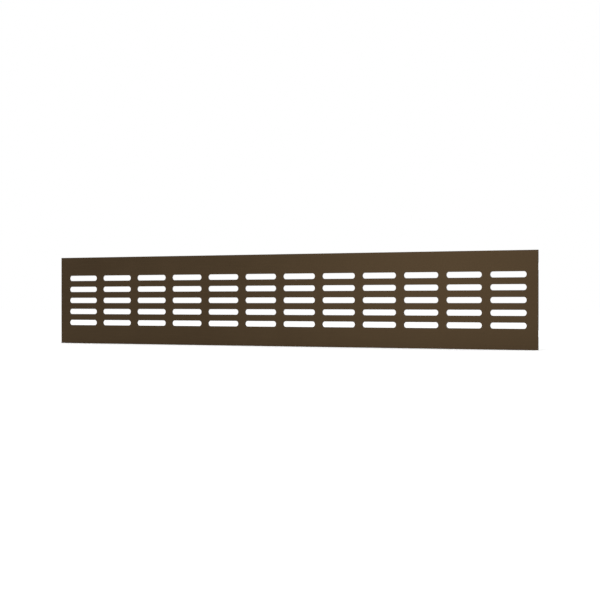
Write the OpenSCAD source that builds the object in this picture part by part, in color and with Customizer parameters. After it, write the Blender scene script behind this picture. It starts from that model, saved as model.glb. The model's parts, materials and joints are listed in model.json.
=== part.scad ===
// Recessed ventilation grille with concealed spring clips.
// X runs along the grille, Z is up and the face looks toward -Y.
// The origin is the centre of the plane where the plate's back seats on the panel.

/* [Plate] */
// Length of the face plate
plate_len = 500; // [250:5:1000]
// Height of the face plate
plate_h = 80; // [60:1:160]
// Thickness of the face plate
plate_t = 1.2; // [1:0.1:3]

/* [Air slots] */
// Overall length of one slot, with its round ends
slot_len = 33.2; // [15:0.1:60]
// Height of one slot
slot_h = 4.8; // [3:0.1:8]
// Metal left between two slots in a row
slot_web = 7.4; // [4:0.1:15]
// Metal left between two rows of slots
row_web = 5.5; // [3:0.1:12]
// Least metal left between the slots and the ends of the plate
end_land = 9.5; // [6:0.5:30]

/* [Panel cut-out] */
// How far the plate laps the panel above and below the cut-out
lap = 8; // [5:0.5:15]
// Gap between the rail's outer face and the edge of the cut-out, which the clips bridge
clip_gap = 2.5; // [2.2:0.1:3.5]

/* [Rails] */
// Thickness of the rail's two walls
rail_t = 1.2; // [1:0.1:1.6]
// Width of the rail's foot, across the plate
rail_foot_w = 5.5; // [4:0.1:8]
// How far the rail reaches behind the panel's face
rail_depth = 16; // [14:0.5:30]
// How far the rail stops short of each end of the plate
rail_setback = 12; // [8:0.5:40]
// Radius inside the rail's corner
rail_fillet = 0.8; // [0.3:0.1:1.5]
// Radius outside the rail's corner
rail_corner = 0.5; // [0.2:0.1:0.9]
// Clearance between the rail's foot and the nearest row of slots
foot_slot_gap = 0.5; // [0.3:0.1:3]

/* [Bond tape] */
// Thickness of the bonding tape
tape_t = 0.6; // [0.4:0.1:1]
// Depth of the locating groove in the plate's back
groove_depth = 0.3; // [0.2:0.05:0.4]
// Clearance beside the rail's foot in the groove
groove_clear = 0.2; // [0.1:0.05:0.5]
// How far the tape stays inside the edges of the rail's foot
tape_inset = 0.25; // [0.1:0.05:1]

/* [Spring clips] */
// Clips on each rail
clip_count = 3; // [2:1:3]
// Distance from the rail's end to the middle of its last clip
clip_end = 43; // [12:1:60]
// Width of a clip
clip_w = 12; // [8:0.5:20]
// Thickness of the spring strip
clip_t = 0.4; // [0.3:0.05:0.6]
// Clearance between the rail's outer face and the root of the leaf
leaf_gap = 0.4; // [0.3:0.05:0.6]
// Inside radius of every other bend in the strip
bend_r = 1; // [0.6:0.1:2]
// Angle at which the leaf leaves the rail
leaf_angle = 22; // [18:1:26]
// How far the leaf's ridge stands past the edge of the cut-out
ridge_proud = 1; // [0.6:0.1:1.2]
// Angle at which the leaf's tip turns back in
tip_angle = 25; // [20:1:35]
// Length of the leaf's straight tip
tip_len = 2.5; // [1:0.1:3]
// Radius of the leaf's two corners
leaf_corner = 1.5; // [0.5:0.1:3]
// Straight length of the clip's inner limb
limb_len = 7; // [6:0.1:10]
// Angle of the inner limb's lead-in lip
lip_angle = 32; // [15:1:45]
// Straight length of the lead-in lip
lip_len = 0.9; // [0.4:0.1:2]
// Diameter of the locking dimple
dimple_d = 3; // [2:0.1:4]
// Height of the locking dimple
dimple_h = 0.7; // [0.4:0.05:0.9]
// Distance from the rail's rear edge to the dimple's centre
dimple_back = 4; // [3:0.1:5]
// Clearance on the diameter between the dimple and its hole
dimple_clear = 0.3; // [0.1:0.05:0.6]

/* [Hidden] */
cutout_half = plate_h / 2 - lap;
rail_out = cutout_half - clip_gap;
rail_in = rail_out - rail_t;
foot_in = rail_out - rail_foot_w;
foot_front = tape_t - groove_depth;
rail_len = plate_len - 2 * rail_setback;

col_pitch = slot_len + slot_web;
row_pitch = slot_h + row_web;
slot_cols = floor((plate_len - 2 * end_land + slot_web) / col_pitch);
slot_rows = floor((2 * (foot_in - foot_slot_gap) + row_web) / row_pitch);

clip_step = (rail_len - 2 * clip_end) / (clip_count - 1);
u_bend_r = (rail_t + leaf_gap) / 2;
flex_z = rail_in + u_bend_r;
limb_face = -u_bend_r;
mid_r = bend_r + clip_t / 2;
leaf_rise = cutout_half + ridge_proud - flex_z - u_bend_r - clip_t - 2 * mid_r * (1 - cos(leaf_angle));
leaf_run = leaf_rise / sin(leaf_angle);
leaf_steps = [[leaf_angle, leaf_run], [-leaf_angle - tip_angle, tip_len]];
limb_steps = [[0, limb_len], [-lip_angle, lip_len]];
bend_parts = 8;
past = 1;
$fn = 64;

sides = ["upper", "lower"];
places = clip_count == 2 ? ["left", "right"] : ["left", "middle", "right"];
function clip_name(side, place, piece) = str(side, "_", place, "_clip_", piece);

// The strip's centre line from a bend's start: the points round the bend, then the end of the straight.
function bend_points(at, dir, turn) = turn == 0 ? [[at, dir]] :
    let (side = sign(turn), centre = at + side * mid_r * [-sin(dir), cos(dir)])
    [for (i = [0:bend_parts])
        let (d = dir + turn * i / bend_parts)
        [centre + side * mid_r * [sin(d), -cos(d)], d]];

// Every point of the centre line with its heading, one step being [turn, straight run].
function centre_line(steps, at, dir = 0, i = 0) = i == len(steps) ? [] :
    let (
        round_points = bend_points(at, dir, steps[i][0]),
        out = round_points[len(round_points) - 1],
        end = out[0] + steps[i][1] * [cos(out[1]), sin(out[1])]
    )
    concat(round_points, [[end, out[1]]], centre_line(steps, end, out[1], i + 1));

// One edge of the strip, half its thickness to a side of the centre line.
function strip_edge(line, side) =
    [for (p = line) p[0] + side * clip_t / 2 * [-sin(p[1]), cos(p[1])]];

function backward(points) = [for (i = [len(points) - 1:-1:0]) points[i]];

// Section of a bent strip that starts at the point given and runs toward +X.
module strip(steps, start) {
    line = centre_line(steps, start);
    polygon(concat(strip_edge(line, -1), backward(strip_edge(line, 1))));
}

// Extrudes a section drawn as [Y, Z] along X, centred.
module along_x(length) {
    rotate([90, 0, 90]) linear_extrude(length, center = true) children();
}

// Places what is drawn round the flex line: X forward to the plate, Y outward.
module at_flex() {
    translate([rail_depth, flex_z]) mirror([1, 0]) children();
}

module on_side(side) {
    if (side == "lower") mirror([0, 0, 1]) children();
    else children();
}

function clip_x(i) = -rail_len / 2 + clip_end + i * clip_step;

module slot() {
    straight = slot_len - slot_h;
    square([straight, slot_h], center = true);
    for (s = [-1, 1]) translate([s * straight / 2, 0]) circle(d = slot_h);
}

module slot_field() {
    for (c = [0:slot_cols - 1], r = [0:slot_rows - 1])
        translate([(c - (slot_cols - 1) / 2) * col_pitch, (r - (slot_rows - 1) / 2) * row_pitch]) slot();
}

module locating_groove() {
    translate([-plate_len / 2 - past, -groove_depth, foot_in - groove_clear])
        cube([plate_len + 2 * past, groove_depth + past, rail_foot_w + 2 * groove_clear]);
}

module grille_plate() {
    color([0.29, 0.23, 0.17])
        difference() {
            rotate([90, 0, 0]) linear_extrude(plate_t)
                difference() {
                    square([plate_len, plate_h], center = true);
                    slot_field();
                }
            for (side = sides) on_side(side) locating_groove();
        }
}

module rail_section() {
    difference() {
        union() {
            translate([foot_front, foot_in]) square([rail_t, rail_foot_w]);
            translate([foot_front, rail_in]) square([rail_depth - foot_front, rail_t]);
            translate([foot_front + rail_t, rail_in - rail_fillet])
                difference() {
                    square(rail_fillet);
                    translate([rail_fillet, 0]) circle(rail_fillet);
                }
        }
        translate([foot_front, rail_out - rail_corner])
            difference() {
                translate([-past, 0]) square([rail_corner + past, rail_corner + past]);
                translate([rail_corner, 0]) circle(rail_corner);
            }
    }
}

module dimple_hole() {
    translate([0, rail_depth - dimple_back, rail_in - past])
        cylinder(d = dimple_d + dimple_clear, h = rail_t + 2 * past);
}

module rail(side) {
    color([0.62, 0.63, 0.65])
        on_side(side)
            difference() {
                along_x(rail_len) rail_section();
                for (i = [0:clip_count - 1]) translate([clip_x(i), 0, 0]) dimple_hole();
            }
}

module bond_tape(side) {
    color([0.12, 0.12, 0.13])
        on_side(side)
            translate([-rail_len / 2, -groove_depth, foot_in + tape_inset])
                cube([rail_len, tape_t, rail_foot_w - 2 * tape_inset]);
}

module u_bend_section() {
    outer_r = u_bend_r + clip_t;
    difference() {
        circle(outer_r);
        circle(u_bend_r);
        translate([0, -outer_r - past]) square([outer_r + past, 2 * (outer_r + past)]);
    }
}

module clip_saddle(side, i) {
    color([0.78, 0.79, 0.8])
        on_side(side)
            translate([clip_x(i), 0, 0])
                difference() {
                    union() {
                        along_x(clip_w)
                            at_flex() {
                                u_bend_section();
                                strip(limb_steps, [0, limb_face - clip_t / 2]);
                            }
                        translate([0, rail_depth - dimple_back, flex_z + limb_face - clip_t / 2])
                            cylinder(d = dimple_d, h = dimple_h + clip_t / 2);
                    }
                    translate([0, rail_depth - dimple_back, flex_z + limb_face - clip_t - past])
                        cylinder(d = dimple_d - 2 * clip_t, h = dimple_h + past);
                }
}

// The leaf seen square on, with its two far corners rounded.
module leaf_plan() {
    tip_back = centre_line(leaf_steps, [0, 0]);
    reach = tip_back[len(tip_back) - 1][0][0] + clip_t;
    translate([0, rail_depth - reach + leaf_corner])
        for (s = [-1, 1]) translate([s * (clip_w / 2 - leaf_corner), 0]) circle(leaf_corner);
    translate([-clip_w / 2, rail_depth - reach + leaf_corner]) square([clip_w, reach - leaf_corner + past]);
    translate([-clip_w / 2 + leaf_corner, rail_depth - reach]) square([clip_w - 2 * leaf_corner, leaf_corner + past]);
}

module clip_leaf(side, i) {
    color([0.82, 0.83, 0.84])
        on_side(side)
            translate([clip_x(i), 0, 0])
                intersection() {
                    along_x(clip_w) at_flex() strip(leaf_steps, [0, u_bend_r + clip_t / 2]);
                    linear_extrude(plate_h) leaf_plan();
                }
}

grille_plate();
for (side = sides) {
    rail(side);
    bond_tape(side);
    for (i = [0:clip_count - 1]) {
        clip_saddle(side, i);
        clip_leaf(side, i);
    }
}
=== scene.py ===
import json
import math

import bmesh
import bpy
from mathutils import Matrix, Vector


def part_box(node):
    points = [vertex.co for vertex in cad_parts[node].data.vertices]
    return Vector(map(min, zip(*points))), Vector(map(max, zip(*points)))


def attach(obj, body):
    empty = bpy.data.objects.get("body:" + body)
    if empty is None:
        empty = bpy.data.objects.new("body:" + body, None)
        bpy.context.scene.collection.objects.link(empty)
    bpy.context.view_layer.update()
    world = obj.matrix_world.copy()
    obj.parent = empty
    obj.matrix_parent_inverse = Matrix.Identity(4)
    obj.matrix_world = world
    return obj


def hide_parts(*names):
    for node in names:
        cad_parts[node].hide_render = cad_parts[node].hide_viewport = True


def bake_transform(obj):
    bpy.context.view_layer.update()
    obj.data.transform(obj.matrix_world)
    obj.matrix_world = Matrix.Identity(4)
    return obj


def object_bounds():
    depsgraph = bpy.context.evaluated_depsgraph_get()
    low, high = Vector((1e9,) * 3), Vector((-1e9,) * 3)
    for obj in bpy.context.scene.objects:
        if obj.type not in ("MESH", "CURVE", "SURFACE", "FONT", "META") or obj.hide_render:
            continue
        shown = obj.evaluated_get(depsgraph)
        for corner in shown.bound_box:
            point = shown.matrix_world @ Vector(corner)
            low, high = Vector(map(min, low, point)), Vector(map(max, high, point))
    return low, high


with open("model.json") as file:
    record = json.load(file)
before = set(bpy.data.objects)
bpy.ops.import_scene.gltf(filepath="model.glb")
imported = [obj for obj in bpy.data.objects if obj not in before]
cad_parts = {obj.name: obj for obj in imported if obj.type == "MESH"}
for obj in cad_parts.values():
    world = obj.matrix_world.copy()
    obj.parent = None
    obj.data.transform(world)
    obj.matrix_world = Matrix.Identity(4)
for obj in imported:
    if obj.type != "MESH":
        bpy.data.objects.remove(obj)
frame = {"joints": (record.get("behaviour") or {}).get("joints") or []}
cad_low, cad_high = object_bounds()

MM = 0.001

# ---------------------------------------------------------------- sizes of the object, lengths in metres
SLOT_LEN = 33.2 * MM
SLOT_H = 4.8 * MM
SLOT_WEB = 7.4 * MM
ROW_WEB = 5.5 * MM
COL_PITCH = SLOT_LEN + SLOT_WEB
ROW_PITCH = SLOT_H + ROW_WEB
SLOT_COLS = 12
SLOT_ROWS = 5
SLOT_EDGE_R = 0.12 * MM
SLOT_BACK_BEVEL = 0.06 * MM
FACE_EDGE_R = 0.08 * MM
GROOVE_CLEAR = 0.2 * MM

RAIL_T = 1.2 * MM
RAIL_FILLET = 0.8 * MM
RAIL_CORNER = 0.5 * MM
RAIL_EDGE_R = 0.18 * MM
HOLE_R = 1.65 * MM

TAPE_BULGE = 0.12 * MM
TAPE_WAVE = 0.05 * MM

CLIP_W = 12 * MM
CLIP_T = 0.4 * MM
CLIP_EDGE_R = 0.1 * MM
LEAF_GAP = 0.4 * MM
U_BEND_R = (RAIL_T + LEAF_GAP) / 2 + CLIP_T / 2
BEND_R = 1 * MM + CLIP_T / 2
LEAF_ANGLE = 22
TIP_ANGLE = 25
TIP_LEN = 2.5 * MM
LEAF_CORNER = 1.5 * MM
LIMB_LEN = 7 * MM
LIP_ANGLE = 32
LIP_LEN = 0.9 * MM
DIMPLE_BACK = 4 * MM
DIMPLE_R = 1.5 * MM
DIMPLE_H = 0.7 * MM
DIMPLE_WALL = 0.5 * MM

# ---------------------------------------------------------------- how finely curves are cut
EDGE_STEPS = 3
SLOT_END_STEPS = 20
HOLE_STEPS = 40
RAIL_EDGE_STEPS = 6
RAIL_BEND_STEPS = 8
TAPE_EDGE_STEPS = 6
TAPE_STATIONS = 120
TAPE_WAVE_TURNS = (1.7, 0.61)
CLIP_FLANK_STEPS = 4
CLIP_MIDDLE_STEPS = 20
CLIP_MIDDLE_HALF = 2 * MM
CLIP_EDGE_TURNS = (45, 0, -45)

SAME_POINT = 0.0005 * MM

SIDES = {"upper": 1, "lower": -1}
PLACES = ("left", "middle", "right")

plate_low, plate_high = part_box("grille_plate")
rail_low, rail_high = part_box("upper_rail")
tape_low, tape_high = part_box("upper_bond_tape")
leaf_low, leaf_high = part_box("upper_middle_clip_leaf")
joints = {joint["name"]: joint for joint in frame["joints"]}


def flex_point(side, place):
    """Where a clip's leaf turns, on the axis of its U bend."""
    return joints[f"{side}_{place}_clip_flex"]["pos_m"]


# ---------------------------------------------------------------- mesh helpers
def new_piece(bm, name, materials, smooth_below=12):
    """A mesh object from bm, its faces smooth except across edges sharper than smooth_below degrees."""
    bmesh.ops.remove_doubles(bm, verts=bm.verts, dist=SAME_POINT)
    bmesh.ops.recalc_face_normals(bm, faces=bm.faces)
    mesh = bpy.data.meshes.new(name)
    bm.to_mesh(mesh)
    bm.free()
    for face in mesh.polygons:
        face.use_smooth = True
    mesh.set_sharp_from_angle(angle=math.radians(smooth_below))
    for material in materials:
        mesh.materials.append(material)
    piece = bpy.data.objects.new(name, mesh)
    bpy.context.scene.collection.objects.link(piece)
    return piece


def ring(bm, points):
    return [bm.verts.new(p) for p in points]


def bridge(bm, a, b, material=0):
    """Quads between two closed rings of as many points."""
    for i in range(len(a)):
        j = (i + 1) % len(a)
        bm.faces.new((a[i], a[j], b[j], b[i])).material_index = material


def bridge_all(bm, rings, material=0):
    for a, b in zip(rings, rings[1:]):
        bridge(bm, a, b, material)


def fill(bm, rings):
    """A flat face inside the first ring, with the other rings as its holes."""
    edges = []
    for r in rings:
        for i in range(len(r)):
            pair = (r[i], r[(i + 1) % len(r)])
            edges.append(bm.edges.get(pair) or bm.edges.new(pair))
    made = bmesh.ops.triangle_fill(bm, use_beauty=True, edges=edges)
    for item in made["geom"]:
        if isinstance(item, bmesh.types.BMFace):
            item.material_index = 0


def rounded_edge(radius):
    """Inset and depth of the points round an edge of this radius, from the flat face to the side."""
    turn = [math.pi / 2 * k / EDGE_STEPS for k in range(EDGE_STEPS + 1)]
    return [(radius - radius * math.sin(a), radius - radius * math.cos(a)) for a in turn]


def arc(centre, radius, start, end, steps):
    """Points round an arc from one angle to another, in degrees, with both ends."""
    turn = [math.radians(start + (end - start) * k / steps) for k in range(steps + 1)]
    return [(centre[0] + radius * math.cos(a), centre[1] + radius * math.sin(a)) for a in turn]


# ---------------------------------------------------------------- face plate
def slot_points(cx, cz, grow, y):
    """One slot's outline at depth y, grown by grow all round."""
    half = (SLOT_LEN - SLOT_H) / 2
    radius = SLOT_H / 2 + grow
    points = arc((cx + half, cz), radius, -90, 90, SLOT_END_STEPS)
    points += arc((cx - half, cz), radius, 90, 270, SLOT_END_STEPS)
    return [(x, y, z) for x, z in points]


def rectangle(half_x, half_z, y):
    return [(-half_x, y, -half_z), (half_x, y, -half_z), (half_x, y, half_z), (-half_x, y, half_z)]


def slots(bm):
    """The walls of every slot, and their rings of points in the face and in the back."""
    in_face = []
    in_back = []
    steps = [(grow, plate_low.y + depth) for grow, depth in rounded_edge(SLOT_EDGE_R)]
    steps += [(0, -SLOT_BACK_BEVEL), (SLOT_BACK_BEVEL, 0)]
    for col in range(SLOT_COLS):
        for row in range(SLOT_ROWS):
            cx = (col - (SLOT_COLS - 1) / 2) * COL_PITCH
            cz = (row - (SLOT_ROWS - 1) / 2) * ROW_PITCH
            rings = [ring(bm, slot_points(cx, cz, grow, y)) for grow, y in steps]
            bridge_all(bm, rings, 1)
            in_face.append(rings[0])
            in_back.append(rings[-1])
    return in_face, in_back


def back_profile():
    """The back's points as (y, z), from the lower edge to the upper, with a groove for each rail's foot."""
    groove_low = rail_low.z - GROOVE_CLEAR
    groove_high = rail_high.z + GROOVE_CLEAR
    floor_y = tape_low.y
    upper = [(0, groove_low), (floor_y, groove_low), (floor_y, groove_high), (0, groove_high), (0, plate_high.z)]
    return [(y, -z) for y, z in reversed(upper)] + upper


def face_plate(face, rim):
    """The slotted plate: rounded face edges, rolled slot rims and two shallow grooves along the back."""
    bm = bmesh.new()
    half_x, half_z = plate_high.x, plate_high.z
    in_face, in_back = slots(bm)

    edge = [ring(bm, rectangle(half_x - inset, half_z - inset, plate_low.y + depth))
            for inset, depth in rounded_edge(FACE_EDGE_R)]
    bridge_all(bm, edge, 1)
    fill(bm, [edge[0]] + in_face)

    profile = back_profile()
    left, right = [[bm.verts.new((x, y, z)) for y, z in profile] for x in (-half_x, half_x)]
    middle = len(profile) // 2 - 1
    for i in range(len(profile) - 1):
        if i != middle:
            bm.faces.new((left[i], right[i], right[i + 1], left[i + 1]))
    fill(bm, [[left[middle], right[middle], right[middle + 1], left[middle + 1]]] + in_back)

    left_low, right_low, right_high, left_high = edge[-1]
    for corners in (
        (left_low, right_low, right[0], left[0]),
        (left_high, right_high, right[-1], left[-1]),
        [left_low] + left + [left_high],
        [right_low] + right + [right_high],
    ):
        bm.faces.new(corners).material_index = 1
    return new_piece(bm, "face_plate", [face, rim])


# ---------------------------------------------------------------- rails
def rail_section():
    """The L section as (y, z) points, and where the leg's inner and outer flats start in them."""
    front, rear = rail_low.y, rail_high.y
    inner, outer = rail_low.z, rail_high.z
    foot_back = front + RAIL_T
    leg_in = outer - RAIL_T
    e = RAIL_EDGE_R
    points = arc((front + e, inner + e), e, 180, 270, RAIL_EDGE_STEPS)
    points += arc((foot_back - e, inner + e), e, -90, 0, RAIL_EDGE_STEPS)
    fillet = (foot_back + RAIL_FILLET, leg_in - RAIL_FILLET)
    points += arc(fillet, RAIL_FILLET, 180, 90, RAIL_BEND_STEPS)
    inner_flat = len(points) - 1
    points += arc((rear - e, leg_in + e), e, -90, 0, RAIL_EDGE_STEPS)
    points += arc((rear - e, outer - e), e, 0, 90, RAIL_EDGE_STEPS)
    outer_flat = len(points) - 1
    corner = (front + RAIL_CORNER, outer - RAIL_CORNER)
    points += arc(corner, RAIL_CORNER, 90, 180, RAIL_BEND_STEPS)
    return points, inner_flat, outer_flat


def rail(side, metal, cut):
    """An aluminium angle with a hole for each clip's dimple."""
    up = SIDES[side]
    bm = bmesh.new()
    points, inner_flat, outer_flat = rail_section()
    ends = [[bm.verts.new((x, y, up * z)) for y, z in points] for x in (rail_low.x, rail_high.x)]
    hole_y = rail_high.y - DIMPLE_BACK
    holes = {}
    for flat, z in ((inner_flat, rail_high.z - RAIL_T), (outer_flat, rail_high.z)):
        holes[flat] = []
        for place in PLACES:
            centre = (flex_point(side, place)[0], hole_y)
            circle = arc(centre, HOLE_R, 0, 360, HOLE_STEPS)[:-1]
            holes[flat].append(ring(bm, [(x, y, up * z) for x, y in circle]))
    for i in range(len(points)):
        j = (i + 1) % len(points)
        corners = [ends[0][i], ends[1][i], ends[1][j], ends[0][j]]
        if i in holes:
            fill(bm, [corners] + holes[i])
        else:
            bm.faces.new(corners)
    for a, b in zip(holes[inner_flat], holes[outer_flat]):
        bridge(bm, a, b, 1)
    for end in ends:
        bm.faces.new(end).material_index = 1
    return new_piece(bm, f"{side}_stiffening_rail", [metal, cut], smooth_below=25)


# ---------------------------------------------------------------- bonding tape
def tape(side, material):
    """A thin strip whose free edges bulge a little where the rail presses it, and waver along its length.

    TAPE_WAVE_TURNS are the waver's two turns from one station to the next, in radians.
    """
    up = SIDES[side]
    bm = bmesh.new()
    mid_y = (tape_low.y + tape_high.y) / 2
    half_t = (tape_high.y - tape_low.y) / 2
    mid_z = (tape_low.z + tape_high.z) / 2
    half_w = (tape_high.z - tape_low.z) / 2
    section = []
    for way in (1, -1):
        for y, z in arc((0, 0), 1, -90, 90, TAPE_EDGE_STEPS):
            section.append((mid_y + way * half_t * z, mid_z + way * (half_w + TAPE_BULGE * y)))
    rings = []
    for n in range(TAPE_STATIONS + 1):
        x = tape_low.x + (tape_high.x - tape_low.x) * n / TAPE_STATIONS
        wave = TAPE_WAVE * math.sin(n * TAPE_WAVE_TURNS[0]) * math.sin(n * TAPE_WAVE_TURNS[1])
        rings.append(ring(bm, [(x, y, up * (z + wave)) for y, z in section]))
    bridge_all(bm, rings)
    bm.faces.new(rings[0])
    bm.faces.new(rings[-1])
    return new_piece(bm, f"{side}_bonding_strip", [material], smooth_below=40)


# ---------------------------------------------------------------- spring clips
def leaf_ramp():
    """Length of the leaf's straight ramp, from the height of its ridge."""
    climb = leaf_high.z - flex_point("upper", "middle")[2] - U_BEND_R - CLIP_T / 2
    climb -= 2 * BEND_R * (1 - math.cos(math.radians(LEAF_ANGLE)))
    return climb / math.sin(math.radians(LEAF_ANGLE))


def strip_line():
    """The strip's centre line as [u, v, heading], u forward to the plate and v outward.

    It starts at the lead-in lip, runs along the inner limb, round the U bend and out along the leaf,
    and (0, 0) is on the flex axis. Each step is a radius and an angle, or None and a length, and then
    how many points it takes. The second result is the number of the point where the U bend starts.
    """
    before = [(None, LIP_LEN, 3), (BEND_R, LIP_ANGLE, 6), (None, LIMB_LEN, 35)]
    after = [
        (U_BEND_R, -180, 28),
        (BEND_R, LEAF_ANGLE, 8),
        (None, leaf_ramp(), 12),
        (BEND_R, -LEAF_ANGLE - TIP_ANGLE, 14),
        (None, TIP_LEN, 16),
    ]
    bend_start = sum(count for _, _, count in before)
    u, v, heading = 0.0, 0.0, 180.0 - LIP_ANGLE
    line = [[u, v, heading]]
    for radius, amount, count in before + after:
        if radius is None:
            for _ in range(count):
                u += amount / count * math.cos(math.radians(heading))
                v += amount / count * math.sin(math.radians(heading))
                line.append([u, v, heading])
            continue
        way = math.copysign(radius, amount)
        centre_u = u - way * math.sin(math.radians(heading))
        centre_v = v + way * math.cos(math.radians(heading))
        for k in range(1, count + 1):
            h = heading + amount * k / count
            u = centre_u + way * math.sin(math.radians(h))
            v = centre_v - way * math.cos(math.radians(h))
            line.append([u, v, h])
        heading += amount
    flex_u, flex_v = line[bend_start][0], line[bend_start][1] + U_BEND_R
    return [[u - flex_u, v - flex_v, h] for u, v, h in line], bend_start


def clip_columns():
    """Places across the strip's flat width, closer together over the dimple."""
    half = CLIP_W / 2 - CLIP_EDGE_R
    flank = [half - (half - CLIP_MIDDLE_HALF) * k / CLIP_FLANK_STEPS for k in range(CLIP_FLANK_STEPS)]
    middle = [CLIP_MIDDLE_HALF - 2 * CLIP_MIDDLE_HALF * k / CLIP_MIDDLE_STEPS
              for k in range(CLIP_MIDDLE_STEPS + 1)]
    return flank + middle + [-x for x in reversed(flank)]


def dimple_press(x, u):
    """How far the limb is pressed into the rail's hole at a point."""
    share = min(max((DIMPLE_R - math.hypot(x, u - DIMPLE_BACK)) / DIMPLE_WALL, 0), 1)
    return -DIMPLE_H * share * share * (3 - 2 * share)


def tip_width(from_tip, half):
    """The share of its width that the leaf keeps at this distance from its tip, with rounded corners."""
    cut = LEAF_CORNER - from_tip
    if cut <= 0:
        return 1.0
    return (half - LEAF_CORNER + math.sqrt(max(LEAF_CORNER**2 - cut**2, 0))) / half


def clip(side, place, metal, edge):
    """One bent spring strip: lip, limb with its pressed dimple, U bend and leaf."""
    up = SIDES[side]
    cx, cy, cz = flex_point(side, place)
    line, bend_start = strip_line()
    end_u = line[-1][0]
    columns = clip_columns()
    half = CLIP_W / 2 - CLIP_EDGE_R
    bm = bmesh.new()
    rings = []
    for n, (u, v, heading) in enumerate(line):
        normal_u, normal_v = -math.sin(math.radians(heading)), math.cos(math.radians(heading))
        on_limb = n <= bend_start
        width = 1.0 if on_limb else tip_width((end_u - u) / math.cos(math.radians(TIP_ANGLE)), half)
        section = []
        for way in (1, -1):
            for x in columns if way == 1 else columns[::-1]:
                press = dimple_press(x, u) if on_limb else 0
                section.append((x * width, way * CLIP_T / 2 + press))
            for a in CLIP_EDGE_TURNS:
                out = half * width + CLIP_EDGE_R * math.cos(math.radians(a))
                section.append((-way * out, way * CLIP_T / 2 * math.sin(math.radians(a))))
        rings.append(ring(bm, [
            (cx + x, cy - (u + normal_u * h), cz + up * (v + normal_v * h)) for x, h in section
        ]))
    count = len(rings[0])
    on_edge = len(CLIP_EDGE_TURNS) + 1
    edge_quads = {len(columns) - 1 + k for k in range(on_edge)} | {count - on_edge + k for k in range(on_edge)}
    for a, b in zip(rings, rings[1:]):
        for i in range(count):
            j = (i + 1) % count
            bm.faces.new((a[i], a[j], b[j], b[i])).material_index = int(i in edge_quads)
    bm.faces.new(rings[0]).material_index = 1
    bm.faces.new(rings[-1]).material_index = 1
    return new_piece(bm, f"{side}_{place}_spring_clip", [metal, edge], smooth_below=35)


# ---------------------------------------------------------------- materials
def shader(name, metallic=0.0):
    material = bpy.data.materials.new(name)
    material.use_nodes = True
    nodes = material.node_tree.nodes
    bsdf = nodes["Principled BSDF"]
    bsdf.inputs["Metallic"].default_value = metallic
    return material, nodes, material.node_tree.links, bsdf


def noise(nodes, links, scale, detail=3.0, rough=0.55):
    """Noise in the object's own metres, with one scale for each axis, in features a metre."""
    place = nodes.new("ShaderNodeTexCoord")
    stretch = nodes.new("ShaderNodeMapping")
    stretch.inputs["Scale"].default_value = scale
    texture = nodes.new("ShaderNodeTexNoise")
    texture.inputs["Scale"].default_value = 1.0
    texture.inputs["Detail"].default_value = detail
    texture.inputs["Roughness"].default_value = rough
    links.new(place.outputs["Object"], stretch.inputs["Vector"])
    links.new(stretch.outputs["Vector"], texture.inputs["Vector"])
    return texture.outputs["Fac"]


def spread(nodes, links, value, low, high):
    """A noise value as a number from about low to about high."""
    node = nodes.new("ShaderNodeMapRange")
    node.inputs["From Min"].default_value = 0.3
    node.inputs["From Max"].default_value = 0.7
    node.inputs["To Min"].default_value = low
    node.inputs["To Max"].default_value = high
    links.new(value, node.inputs["Value"])
    return node.outputs["Result"]


def tone(nodes, links, value, dark, light):
    """A colour between two, by a noise value."""
    node = nodes.new("ShaderNodeMix")
    node.data_type = "RGBA"
    node.inputs["A"].default_value = (*dark, 1)
    node.inputs["B"].default_value = (*light, 1)
    links.new(spread(nodes, links, value, 0, 1), node.inputs["Factor"])
    return node.outputs["Result"]


def mixed(nodes, links, a, b, share):
    """Two noise values as one, share of it from b."""
    node = nodes.new("ShaderNodeMix")
    node.data_type = "FLOAT"
    node.inputs["Factor"].default_value = share
    links.new(a, node.inputs["A"])
    links.new(b, node.inputs["B"])
    return node.outputs["Result"]


def bump(nodes, links, bsdf, height, strength, distance):
    node = nodes.new("ShaderNodeBump")
    node.inputs["Strength"].default_value = strength
    node.inputs["Distance"].default_value = distance
    links.new(height, node.inputs["Height"])
    links.new(node.outputs["Normal"], bsdf.inputs["Normal"])


BRONZE = Vector((0.0526, 0.0344, 0.0182))


def bronze(name, gain, rough_low, rough_high):
    """Satin bronze anodising over a drawn face: fine lines along X under a faint mottle."""
    material, nodes, links, bsdf = shader(name, 1.0)
    lines = noise(nodes, links, (30, 3200, 3200), 5, 0.65)
    mottle = noise(nodes, links, (22, 22, 22), 2)
    both = mixed(nodes, links, lines, mottle, 0.35)
    base = BRONZE * gain
    links.new(tone(nodes, links, both, base * 0.88, base * 1.12), bsdf.inputs["Base Color"])
    links.new(spread(nodes, links, both, rough_low, rough_high), bsdf.inputs["Roughness"])
    pores = noise(nodes, links, (1800, 5200, 5200), 2)
    bump(nodes, links, bsdf, mixed(nodes, links, pores, lines, 0.5), 0.15, 0.02 * MM)
    return material


def drawn_aluminium(name, scale, rough_low, rough_high):
    """Mill-finish aluminium with die lines that run along X, or saw marks across a cut end."""
    material, nodes, links, bsdf = shader(name, 1.0)
    lines = noise(nodes, links, scale, 5, 0.7)
    cloud = noise(nodes, links, (30, 160, 160), 2)
    both = mixed(nodes, links, lines, cloud, 0.35)
    links.new(tone(nodes, links, both, (0.48, 0.49, 0.505), (0.66, 0.665, 0.68)), bsdf.inputs["Base Color"])
    links.new(spread(nodes, links, both, rough_low, rough_high), bsdf.inputs["Roughness"])
    bump(nodes, links, bsdf, lines, 0.25, 0.03 * MM)
    return material


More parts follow.
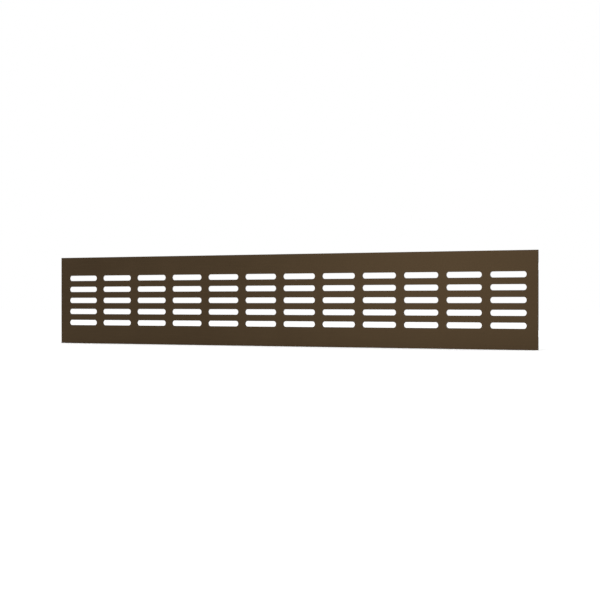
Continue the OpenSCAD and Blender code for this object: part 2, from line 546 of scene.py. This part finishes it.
def spring_steel(name, rough_low, rough_high):
    """Bright rolled strip: grain along the strip, a little uneven in tone."""
    material, nodes, links, bsdf = shader(name, 1.0)
    grain = noise(nodes, links, (4200, 260, 260), 4, 0.65)
    cloud = noise(nodes, links, (180, 180, 180), 2)
    both = mixed(nodes, links, grain, cloud, 0.4)
    links.new(tone(nodes, links, both, (0.40, 0.395, 0.385), (0.58, 0.575, 0.56)), bsdf.inputs["Base Color"])
    links.new(spread(nodes, links, both, rough_low, rough_high), bsdf.inputs["Roughness"])
    bump(nodes, links, bsdf, grain, 0.2, 0.01 * MM)
    return material


def tape_material():
    """Black bonding tape, dull and faintly gritty on its cut edge."""
    material, nodes, links, bsdf = shader("bonding_tape")
    grit = noise(nodes, links, (900, 900, 900), 4)
    links.new(tone(nodes, links, grit, (0.016, 0.016, 0.018), (0.036, 0.036, 0.04)), bsdf.inputs["Base Color"])
    links.new(spread(nodes, links, grit, 0.72, 0.9), bsdf.inputs["Roughness"])
    bump(nodes, links, bsdf, grit, 0.5, 0.05 * MM)
    return material


def floor_material():
    """Matt white, with enough glow to read as white as the surroundings."""
    material, nodes, links, bsdf = shader("studio_floor")
    cloud = noise(nodes, links, (1.5, 1.5, 1.5), 2)
    links.new(tone(nodes, links, cloud, (0.86, 0.86, 0.86), (0.9, 0.9, 0.9)), bsdf.inputs["Base Color"])
    bsdf.inputs["Roughness"].default_value = 1.0
    bsdf.inputs["Specular IOR Level"].default_value = 0.0
    bsdf.inputs["Emission Color"].default_value = (1, 1, 1, 1)
    bsdf.inputs["Emission Strength"].default_value = 0.26
    return material


# ---------------------------------------------------------------- the object
bronze_face = bronze("bronze_face", 0.98, 0.27, 0.36)
bronze_rim = bronze("bronze_rim", 1.05, 0.2, 0.26)
aluminium = drawn_aluminium("mill_aluminium_face", (6, 2600, 2600), 0.3, 0.46)
aluminium_cut = drawn_aluminium("mill_aluminium_cut", (900, 3200, 500), 0.42, 0.6)
steel = spring_steel("spring_steel_face", 0.2, 0.32)
steel_edge = spring_steel("spring_steel_edge", 0.34, 0.46)
tape_finish = tape_material()

plate = face_plate(bronze_face, bronze_rim)
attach(plate, "grille")
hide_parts("grille_plate")

for side, up in SIDES.items():
    stiffener = rail(side, aluminium, aluminium_cut)
    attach(stiffener, "grille")
    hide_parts(f"{side}_rail")

    bond = tape(side, tape_finish)
    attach(bond, "grille")
    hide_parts(f"{side}_bond_tape")

    for place in PLACES:
        spring = clip(side, place, steel, steel_edge)
        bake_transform(spring)
        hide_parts(f"{side}_{place}_clip_saddle", f"{side}_{place}_clip_leaf")


# ---------------------------------------------------------------- stage, light and camera
FLOOR_RADIUS = 9
FLOOR_SEGMENTS = 96
FLOOR_GAP = 0.2 * MM


def stage_floor():
    bm = bmesh.new()
    bmesh.ops.create_circle(bm, cap_ends=True, segments=FLOOR_SEGMENTS, radius=FLOOR_RADIUS)
    mesh = bpy.data.meshes.new("studio_floor")
    bm.to_mesh(mesh)
    bm.free()
    mesh.materials.append(floor_material())
    floor = bpy.data.objects.new("studio_floor", mesh)
    floor.location.z = cad_low.z - FLOOR_GAP
    bpy.context.scene.collection.objects.link(floor)


def surroundings():
    """White all round but for a darker side towards +X, which shapes the end faces and the rails."""
    world = bpy.data.worlds.new("studio")
    world.use_nodes = True
    nodes, links = world.node_tree.nodes, world.node_tree.links
    direction = nodes.new("ShaderNodeTexCoord")
    axes = nodes.new("ShaderNodeSeparateXYZ")
    shade = nodes.new("ShaderNodeMapRange")
    shade.interpolation_type = "SMOOTHSTEP"
    shade.inputs["From Min"].default_value = 0.15
    shade.inputs["From Max"].default_value = 0.6
    shade.inputs["To Min"].default_value = 1.0
    shade.inputs["To Max"].default_value = 0.5
    links.new(direction.outputs["Generated"], axes.inputs["Vector"])
    links.new(axes.outputs["X"], shade.inputs["Value"])
    links.new(shade.outputs["Result"], nodes["Background"].inputs["Strength"])
    nodes["Background"].inputs["Color"].default_value = (1, 1, 1, 1)
    bpy.context.scene.world = world


def area_light(name, location, target, size, power):
    """A white rectangular panel that faces the target."""
    light = bpy.data.lights.new(name, "AREA")
    light.shape = "RECTANGLE"
    light.size, light.size_y = size
    light.energy = power
    holder = bpy.data.objects.new(name, light)
    holder.location = location
    aim = Vector(target) - Vector(location)
    holder.rotation_euler = aim.to_track_quat("-Z", "Y").to_euler()
    bpy.context.scene.collection.objects.link(holder)


def studio_light():
    """A small panel that the right half of the face mirrors softly, and a large one overhead."""
    area_light("key_panel", location=(-0.84, -1.8, 0.1), target=(0.1, 0, 0), size=(0.34, 0.6), power=1.9)
    area_light("top_panel", location=(0.2, -0.6, 2.4), target=(0, 0, 0), size=(2.0, 1.6), power=14)
    bpy.context.scene.view_settings.view_transform = "Standard"


VIEW_AZIMUTH = math.radians(34.168)
VIEW_RISE = math.radians(0.085)
VIEW_DISTANCE = 1.6501
VIEW_SIDE = 0.01787
VIEW_LIFT = 0.0002
LENS = 114.05
SENSOR_WIDTH = 36


def main_camera():
    """Level with the grille and to its right, so that the right end is the near one."""
    data = bpy.data.cameras.new("main_camera")
    data.sensor_width = SENSOR_WIDTH
    data.lens = LENS
    camera = bpy.data.objects.new("main_camera", data)
    bpy.context.scene.collection.objects.link(camera)
    aim = Vector((-math.sin(VIEW_AZIMUTH) * math.cos(VIEW_RISE),
                  math.cos(VIEW_AZIMUTH) * math.cos(VIEW_RISE),
                  math.sin(VIEW_RISE)))
    right = Vector((math.cos(VIEW_AZIMUTH), math.sin(VIEW_AZIMUTH), 0))
    centre = Vector((0, plate_low.y, 0))
    camera.location = centre - aim * VIEW_DISTANCE + right * VIEW_SIDE + Vector((0, 0, VIEW_LIFT))
    camera.rotation_euler = aim.to_track_quat("-Z", "Y").to_euler()
    bpy.context.scene.camera = camera


stage_floor()
surroundings()
studio_light()
main_camera()
